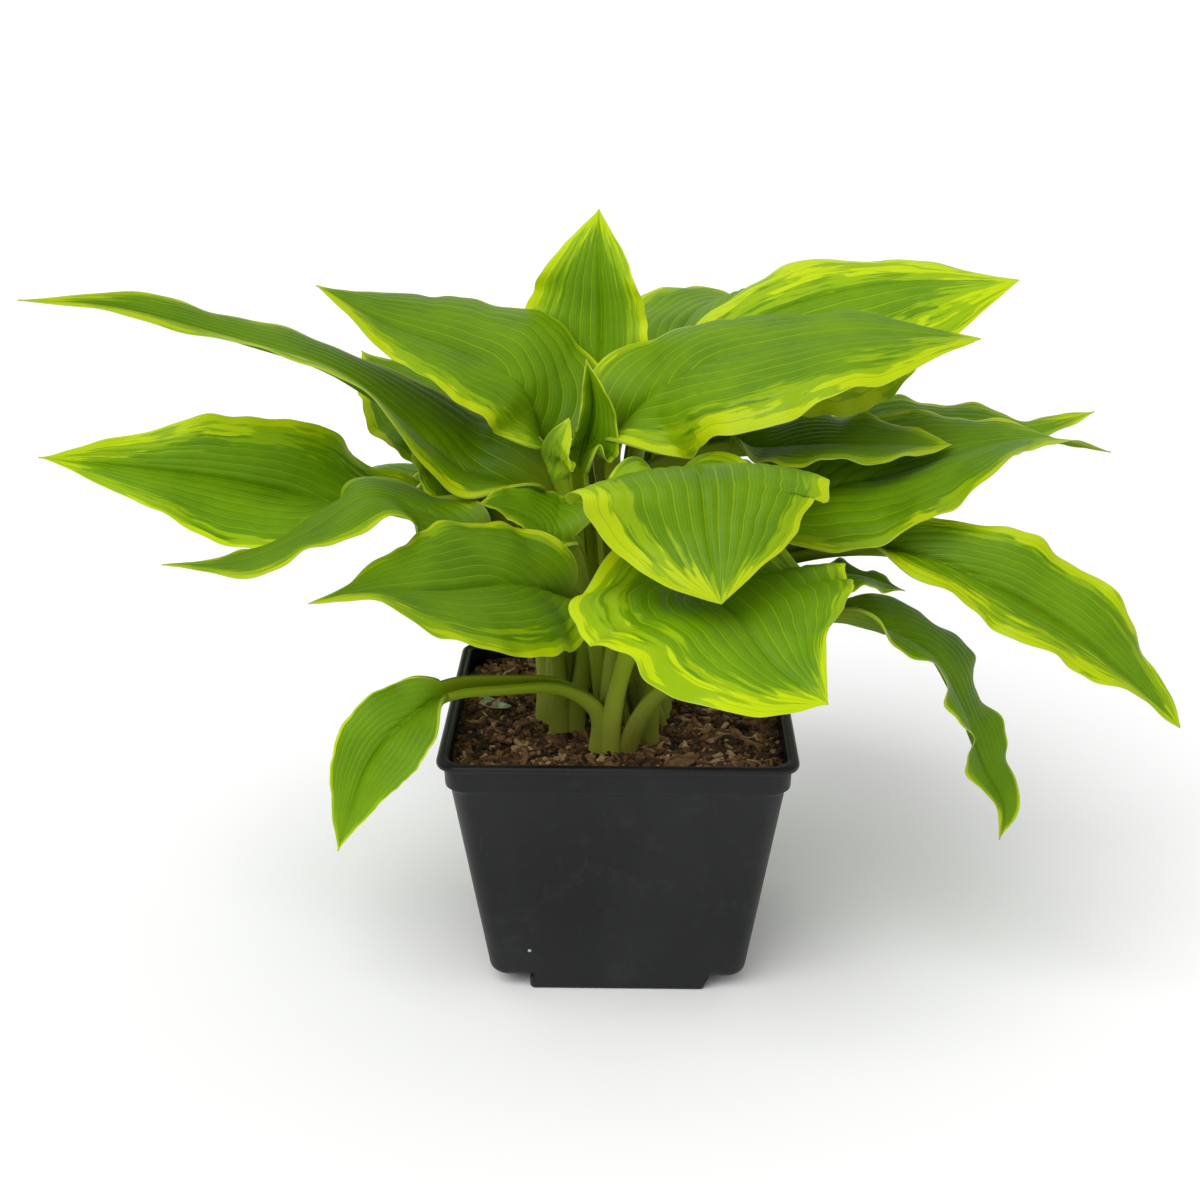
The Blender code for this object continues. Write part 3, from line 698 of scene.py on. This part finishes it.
def variegation():
    """The pattern of a leaf as masks and a height, shared by the upper and the under skin."""
    group = bpy.data.node_groups.new("leaf variegation", "ShaderNodeTree")
    made = group.interface
    made.new_socket("Feather", in_out="INPUT", socket_type="NodeSocketFloat").default_value = 1.0
    for name in ("Margin", "Streaks", "Veins", "Edge", "Mottle", "Height"):
        made.new_socket(name, in_out="OUTPUT", socket_type="NodeSocketFloat")
    feather = put(group, "NodeGroupInput").outputs["Feather"]
    result = put(group, "NodeGroupOutput")

    def follow(name):
        return put(group, "ShaderNodeAttribute", attribute_name=name).outputs["Fac"]

    vein, rim, margin, number = follow("vein"), follow("rim"), follow("margin"), follow("number")
    flat = put(group, "ShaderNodeUVMap", uv_map="UVMap").outputs[0]
    split = put(group, "ShaderNodeSeparateXYZ", {"Vector": flat})
    run, across = split.outputs["X"], split.outputs["Y"]
    side_mark = sums(group, "ADD", sums(group, "SIGN", across, 0.0), number)

    def streaked(by_vein, by_run, detail):
        """Noise drawn out along the veins."""
        where = put(group, "ShaderNodeCombineXYZ", {
            "X": sums(group, "MULTIPLY", vein, by_vein), "Y": sums(group, "MULTIPLY", run, by_run),
            "Z": sums(group, "MULTIPLY", side_mark, 7.3)}).outputs[0]
        return cloud(group, where, 1.0, detail, 0.6)

    broad = streaked(0.55, 3.2, 2.0)
    brush = streaked(2.6, 5.5, 4.0)
    push = sums(group, "ADD", sums(group, "MULTIPLY", sums(group, "SUBTRACT", broad, 0.42), 4.2),
                sums(group, "MULTIPLY", sums(group, "SUBTRACT", brush, 0.5), 2.2))
    edge_of_light = sums(group, "ADD", margin, sums(group, "MULTIPLY", push, feather))
    group.links.new(fade(group, edge_of_light, 0.95, 0.72), result.inputs["Margin"])
    halo = sums(group, "ADD", sums(group, "MULTIPLY", margin, 0.62),
                sums(group, "MULTIPLY", sums(group, "SUBTRACT", streaked(1.7, 4.0, 3.0), 0.5), 3.2))
    group.links.new(fade(group, halo, 0.95, 0.55), result.inputs["Streaks"])
    main_vein = fade(group, sums(group, "PINGPONG", vein, 0.5), 0.095, 0.01)
    between = fade(group, sums(group, "PINGPONG", sums(group, "MULTIPLY", vein, 4.0), 0.5), 0.30, 0.0)
    lines = sums(group, "MAXIMUM", main_vein, sums(group, "MULTIPLY", between, 0.24))
    group.links.new(lines, result.inputs["Veins"])
    group.links.new(fade(group, rim, 0.55, 0.15), result.inputs["Edge"])
    group.links.new(cloud(group, flat, 3.5, 3.0), result.inputs["Mottle"])
    cells = put(group, "ShaderNodeCombineXYZ", {
        "X": sums(group, "MULTIPLY", run, 130.0), "Y": sums(group, "MULTIPLY", vein, 5.0),
        "Z": number}).outputs[0]
    net = put(group, "ShaderNodeTexVoronoi", {"Vector": cells, "Scale": 1.0}, feature="F1")
    fine = sums(group, "MULTIPLY", cloud(group, flat, 260.0, 3.0), 0.6)
    group.links.new(sums(group, "ADD", net.outputs["Distance"], fine), result.inputs["Height"])
    return group


pattern = variegation()


def leaf_skin(name, roughness, deep, green, streak, light, stalk_green, foot_pale, feather, strength):
    """A leaf skin in two greens, with streaks, a light margin, and the stalk's green and pale foot."""
    made, tree, shader = new_material(name, roughness)
    group = tree.nodes.new("ShaderNodeGroup")
    group.node_tree = pattern
    group.inputs["Feather"].default_value = feather
    masks = group.outputs
    run = put(tree, "ShaderNodeAttribute", attribute_name="run").outputs["Fac"]
    tone = put(tree, "ShaderNodeAttribute", attribute_name="tone").outputs["Fac"]
    colour = blend_colours(tree, fade(tree, masks["Mottle"], 0.25, 0.75), deep, green)
    colour = blend_colours(tree, masks["Streaks"], colour, streak)
    colour = blend_colours(tree, masks["Margin"], colour, light)
    colour = blend_colours(tree, sums(tree, "MULTIPLY", masks["Veins"], 0.72), colour, streak)
    colour = blend_colours(tree, sums(tree, "MULTIPLY", masks["Edge"], 0.60), colour, (0.42, 0.52, 0.06))
    stem = fade(tree, run, 1.10, 0.95)
    colour = blend_colours(tree, stem, colour, stalk_green)
    colour = blend_colours(tree, fade(tree, run, 0.50, 0.0), colour, foot_pale)
    # each leaf's tone multiplies its colour: painted light where it is above 1, painted shade where it is
    # below 1
    shade = put(tree, "ShaderNodeCombineColor", {"Red": tone, "Green": tone, "Blue": tone}).outputs[0]
    colour = blend_colours(tree, 1.0, colour, shade, "MULTIPLY")
    tree.links.new(colour, shader.inputs["Base Color"])
    sheen = fade(tree, masks["Mottle"], 0.3, 0.7, roughness - 0.05, roughness + 0.07)
    tree.links.new(sheen, shader.inputs["Roughness"])
    bump = put(
        tree, "ShaderNodeBump", {"Strength": strength, "Distance": 0.00025, "Height": masks["Height"]}
    )
    tree.links.new(bump.outputs[0], shader.inputs["Normal"])
    shader.inputs["Specular IOR Level"].default_value = 0.12
    shader.inputs["Subsurface Weight"].default_value = 0.12
    shader.inputs["Subsurface Radius"].default_value = (0.5, 1.0, 0.1)
    shader.inputs["Subsurface Scale"].default_value = 0.002
    return made


upper_skin = leaf_skin(
    "leaf upper skin", 0.40, (0.078, 0.180, 0.0010), (0.128, 0.255, 0.0014), (0.225, 0.355, 0.0014),
    (0.400, 0.510, 0.0012), (0.170, 0.240, 0.0030), (0.30, 0.34, 0.030), 1.0, 0.30,
)
under_skin = leaf_skin(
    "leaf under skin", 0.55, (0.085, 0.170, 0.006), (0.125, 0.225, 0.008), (0.200, 0.310, 0.008),
    (0.320, 0.420, 0.008), (0.160, 0.230, 0.006), (0.31, 0.35, 0.045), 0.8, 0.20,
)

grow_leaf(
    "leaf_low_left",
    [(-16, -33, 105), (-13, -40, 126), (-24, -46, 137), (-49, -54, 140)],
    [(-71, -62, 140), (-88, -70, 131), (-101, -76, 116), (-109, -82, 97), (-114, -86, 81)],
    (17, 14), fold=24, curl=20, roll=(-30, -40, -20), wave=(1.0, 2.0, 0.6),
    band=(1.0, 1.0), tone=1.12,
)
grow_leaf(
    "leaf_front_left",
    [(-10, -28, 105), (-9, -32, 135), (-12, -39, 160)],
    [(-22, -54, 179), (-39, -75, 193), (-66, -94, 197), (-95, -107, 200), (-116, -115, 198)],
    (39, 33), fold=20, curl=40, roll=(-40, -25, 14), full=(0.75, 1.05), wave=(2.0, 3.5, 2.2),
    band=(7, 4), tone=0.85,
)
grow_leaf(
    "leaf_front_centre",
    [(2, -32, 105), (-1, -40, 157), (9, -46, 194)],
    [(21, -56, 224), (28, -85, 244), (31, -116, 246), (33, -126, 229), (38, -144, 209)],
    (45, 44), fold=2, curl=28, roll=(-2, 0, 22), full=(1.0, 1.0), wave=(2.5, 3.5, -0.6), wing=10.0,
    band=(6, 12),
)
grow_leaf(
    "leaf_front_right",
    [(4, -40, 105), (2, -50, 143), (12, -60, 171)],
    [(25, -74, 195), (33, -100, 198), (45, -120, 196), (59, -134, 182), (78, -143, 170)],
    (54, 52), fold=10, curl=24, roll=(0, 5, 16), wave=(2.8, 3.5, 0.8), wing=7.0,
    band=(6, 13), tone=1.18,
)
grow_leaf(
    "leaf_low_right",
    [(13, -34, 105), (20, -45, 135), (50, -48, 160), (74, -54, 171)],
    [(90, -58, 174), (108, -59, 169), (126, -60, 159), (138, -61, 140), (150, -62, 112),
     (160, -66, 94), (158, -70, 81)],
    (21, 14), fold=30, curl=42, roll=(4, 4, 60), full=(0.9, 1.2), wave=(3.2, 4.0, 3.6),
    band=(1.2, 1.2), tone=0.85,
)
grow_leaf(
    "leaf_right_small",
    [(22, -22, 105), (19, -33, 142), (39, -44, 167)],
    [(62, -48, 180), (80, -50, 189), (99, -52, 189), (116, -54, 184)],
    (9, 25), fold=24, curl=40, wave=(2.0, 3.5, 2.5),
    band=(1.5, 1.5), tone=0.95,
)
grow_leaf(
    "leaf_inner_front",
    [(-16, -18, 105), (-16, -25, 158), (-18, -32, 184)],
    [(-22, -38, 198), (-34, -41, 208), (-45, -46, 215), (-56, -54, 220)],
    (5, 21), fold=5, curl=20, roll=(-50, -45, -30), full=(0.35, 1.2), wave=(0.8, 3.5, 2.2),
    band=(1.5, 1.6), tone=0.95,
)
grow_leaf(
    "leaf_young_curl",
    [(-13, -9, 105), (-18, -10, 164), (-21, -12, 202)],
    [(-27, -14, 220), (-32, -17, 231), (-29, -20, 240), (-21, -21, 247)],
    (16, 4), fold=58, curl=26, full=(0.9, 0.7), wave=(0.5, 3.5, 0.0), facing=180,
    band=(9, 6), tone=1.3, veins=5,
)
grow_leaf(
    "leaf_young_centre",
    [(-4, -8, 105), (-9, -8, 163), (-12, -10, 200)],
    [(-17, -15, 222), (-15, -9, 231), (-11, -13, 250), (-14, -13, 270)],
    (10, 18), fold=58, curl=0, roll=(3, 12, 6), wave=(2.0, 3.5, 2.0), facing=80, wing=4.0,
    band=(1.8, 1.4), tone=1.05, veins=5,
)


# --- Leaves of the left shoot
# The same leaves, leaning to the left of the pot and behind it. The lowest ones arch down under their
# weight.

grow_leaf(
    "leaf_left_low",
    [(-27, -21, 105), (-29, -24, 151), (-46, -30, 175)],
    [(-57, -43, 199), (-84, -48, 217), (-99, -60, 224), (-120, -72, 214), (-148, -82, 204),
     (-178, -84, 203)],
    (19, 22), fold=4, curl=28, roll=(-30, 4, -4), full=(0.72, 1.05), wave=(2.2, 3.5, 0.5), wing=5.0,
    band=(3, 3.5), tone=0.88,
)
grow_leaf(
    "leaf_inner_left",
    [(-22, -14, 105), (-25, -14, 156), (-42, -18, 185)],
    [(-59, -20, 203), (-72, -14, 216), (-81, -8, 225), (-89, -1, 233)],
    (9, 17), fold=20, curl=45, roll=(-24, -16, -14), wave=(1.0, 3.5, 0.0), wing=7.5,
    band=(2, 2), tone=0.95,
)
grow_leaf(
    "leaf_left_big",
    [(-40, 5, 105), (-37, 4, 140), (-52, -2, 176)],
    [(-80, 10, 193), (-120, -4, 205), (-163, -15, 218), (-202, -21, 225), (-240, -28, 231)],
    (47, 27), fold=32, curl=10, roll=(8, -45, -40), full=(0.8, 1.25), wave=(2.3, 3.5, 4.8),
    band=(6, 8), tone=1.15,
)
grow_leaf(
    "leaf_far_left",
    [(-31, -5, 105), (-29, -6, 160), (-29, -8, 196)],
    [(-34, -9, 211), (-47, -10, 216), (-64, -11, 221), (-84, -14, 238), (-117, -20, 265),
     (-155, -30, 281), (-197, -46, 297), (-233, -58, 302)],
    (22, 28), fold=22, curl=26, roll=(-38, -2, -30), full=(0.45, 1.25), wave=(1.2, 4.0, 4.7),
    wing=6.0, band=(6, 3), tone=0.95,
)
grow_leaf(
    "leaf_upper_left",
    [(-26, 12, 105), (-24, 8, 158), (-27, 8, 194)],
    [(-33, 0, 231), (-41, -7, 258), (-65, -6, 271), (-98, -8, 284), (-124, -13, 300)],
    (26, 50), fold=10, curl=36, roll=(-60, -24, -22), full=(0.76, 1.2), wave=(1.0, 3.5, 1.5),
    band=(6, 2.5),
)
grow_leaf(
    "leaf_left_back",
    [(-36, 16, 105), (-33, 18, 154), (-46, 22, 190)],
    [(-57, 30, 211), (-74, 42, 225), (-95, 56, 238), (-119, 76, 254)],
    (30, 30), fold=14, curl=25, roll=(-10, -10, 0), wing=8.0,
    band=(3, 3), tone=0.95,
)
grow_leaf(
    "leaf_back_left",
    [(-30, 26, 105), (-38, 40, 146), (-50, 58, 178)],
    [(-62, 74, 188), (-88, 104, 191), (-116, 132, 178), (-146, 156, 148)],
    (40, 38), fold=14, curl=35, roll=(6, 6, 6), wave=(2.5, 3.5, 1.0),
    band=(6, 6),
)
grow_leaf(
    "leaf_back_left_low",
    [(-18, 36, 105), (-26, 58, 128), (-38, 82, 148)],
    [(-50, 100, 156), (-64, 124, 152), (-76, 146, 134), (-82, 160, 110)],
    (28, 27), fold=16, wave=(2.0, 3.5, 3.0),
    band=(5, 5), tone=0.95,
)


# --- Leaves of the back and right shoots
# The tallest leaves stand at the middle and carry the broadest light margins. The ones behind hang outwards
# all round, so that the plant is full from every side.

grow_leaf(
    "leaf_top_centre",
    [(0, 10, 105), (-9, 14, 156), (-9, 18, 201)],
    [(-8, 28, 230), (-9, 37, 255), (-9, 42, 280), (-10, 45, 303), (-10, 52, 322)],
    (32, 18), fold=18, curl=16, roll=(-15, -15, -10), full=(0.88, 1.12),
    wave=(2.0, 3.5, 3.9), facing=90, wing=7.0,
    band=(7, 6), tone=1.15,
)
grow_leaf(
    "leaf_back_right_up",
    [(9, 25, 105), (2, 30, 151), (11, 40, 194)],
    [(14, 50, 224), (21, 72, 253), (31, 98, 266), (46, 129, 267), (62, 166, 256)],
    (38, 36), fold=18, curl=25, roll=(0, -15, 34), wave=(2.5, 3.5, 0.2),
    band=(6, 5), tone=1.05,
)
grow_leaf(
    "leaf_upper_right_back",
    [(16, 14, 105), (3, 16, 155), (5, 18, 201)],
    [(12, 19, 238), (32, 23, 266), (72, 32, 284), (119, 40, 293), (171, 39, 294)],
    (28, 56), fold=4, curl=46, roll=(3, 34, 22), full=(0.95, 1.0), wave=(2.2, 3.5, 2.7),
    band=(24, 20), tone=1.18,
)
grow_leaf(
    "leaf_upper_right_front",
    [(14, 2, 105), (1, 0, 161), (0, -4, 203)],
    [(-1, -4, 234), (25, -16, 265), (60, -24, 277), (96, -28, 284), (145, -27, 282)],
    (43, 40), fold=6, curl=45, roll=(45, 18, 10), full=(0.85, 1.02), wave=(2.3, 3.5, 4.4), wing=8.0,
    band=(5, 10), tone=1.05,
)
grow_leaf(
    "leaf_right_upper",
    [(21, 9, 105), (11, 4, 163), (9, 0, 210), (25, -5, 224)],
    [(48, -9, 230), (69, -15, 234), (96, -22, 237), (136, -27, 238)],
    (20, 27), fold=16, curl=18, roll=(11, 8, 18), full=(0.9, 1.1), wave=(1.7, 3.5, 0.9), wing=7.0,
    band=(3, 5), tone=0.95,
)
grow_leaf(
    "leaf_right_big",
    [(26, -2, 105), (18, -8, 152), (38, -16, 184)],
    [(64, -22, 201), (84, -28, 219), (116, -25, 226), (145, -25, 236), (170, -22, 239),
     (202, -22, 234)],
    (33, 44), fold=20, curl=28, roll=(32, 19, -20), full=(0.72, 1.4), wave=(2.6, 3.5, 4.0), wing=6.0,
    band=(4, 5), tone=0.92,
)
grow_leaf(
    "leaf_right_back",
    [(28, 14, 105), (24, 20, 154), (46, 30, 193)],
    [(79, 36, 213), (115, 40, 223), (150, 42, 224), (181, 42, 225), (208, 40, 236)],
    (30, 30), fold=15, curl=20, roll=(10, 10, 0), wave=(2.5, 3.5, 0.0),
    band=(5, 5),
)
grow_leaf(
    "leaf_far_right",
    [(22, -12, 105), (13, -24, 147), (42, -36, 180), (74, -46, 196)],
    [(102, -52, 201), (125, -64, 201), (153, -71, 190), (184, -77, 172), (208, -83, 152),
     (222, -90, 140)],
    (22, 17), fold=26, curl=24, roll=(30, 38, 8), full=(0.9, 0.85), wave=(3.4, 3.5, 6.0),
    band=(4.5, 7.5), tone=0.95,
)
grow_leaf(
    "leaf_back_centre",
    [(-6, 32, 105), (-8, 44, 150), (-12, 62, 196)],
    [(-14, 82, 226), (-16, 112, 240), (-18, 150, 236), (-14, 192, 212)],
    (42, 40), fold=14, curl=35, wave=(2.5, 3.5, 2.0),
    band=(7, 6),
)
grow_leaf(
    "leaf_back_right_low",
    [(26, 28, 105), (38, 46, 138), (54, 68, 166)],
    [(70, 92, 182), (94, 120, 184), (116, 144, 166), (132, 162, 134)],
    (38, 36), fold=14, curl=35, roll=(-6, -8, -8), wave=(2.5, 3.5, 4.0),
    band=(6, 7), tone=0.95,
)
grow_leaf(
    "leaf_back_low",
    [(8, 38, 105), (14, 58, 132), (18, 84, 156)],
    [(20, 106, 164), (24, 138, 158), (26, 166, 132), (24, 184, 98)],
    (31, 30), fold=16, wave=(2.0, 3.5, 5.0),
    band=(5, 6), tone=0.95,
)


# --- Floor, light and camera
# A plain pale floor under an even studio light, seen from a little above the leaves.

bpy.ops.object.select_all(action="DESELECT")
bpy.ops.mesh.primitive_plane_add(size=40, location=(0, 0, 0))
floor = bpy.context.object
floor.name = "studio_floor"
paper, tree, shader = new_material("studio paper", 0.9)
shader.inputs["Base Color"].default_value = (0.94, 0.94, 0.94, 1)
shader.inputs["Specular IOR Level"].default_value = 0.1
floor.data.materials.append(paper)

world = bpy.data.worlds.new("studio")
world.use_nodes = True
world.node_tree.nodes["Background"].inputs["Color"].default_value = (1, 1, 1, 1)
world.node_tree.nodes["Background"].inputs["Strength"].default_value = 0.70
bpy.context.scene.world = world

bpy.ops.object.light_add(type="SUN", rotation=(math.radians(34), math.radians(-22), 0))
key = bpy.context.object
key.name = "key light"
key.data.energy = 2.0
key.data.angle = math.radians(50)

lens = bpy.data.cameras.new("view")
lens.sensor_width = 36.0
lens.lens = 60.9
camera = bpy.data.objects.new("view", lens)
bpy.context.collection.objects.link(camera)
camera.location = (0.0082, -0.8348, 0.4482)
camera.rotation_euler = (math.radians(71.0), 0, math.radians(1.15))
bpy.context.scene.camera = camera
bpy.context.scene.view_settings.view_transform = "Standard"
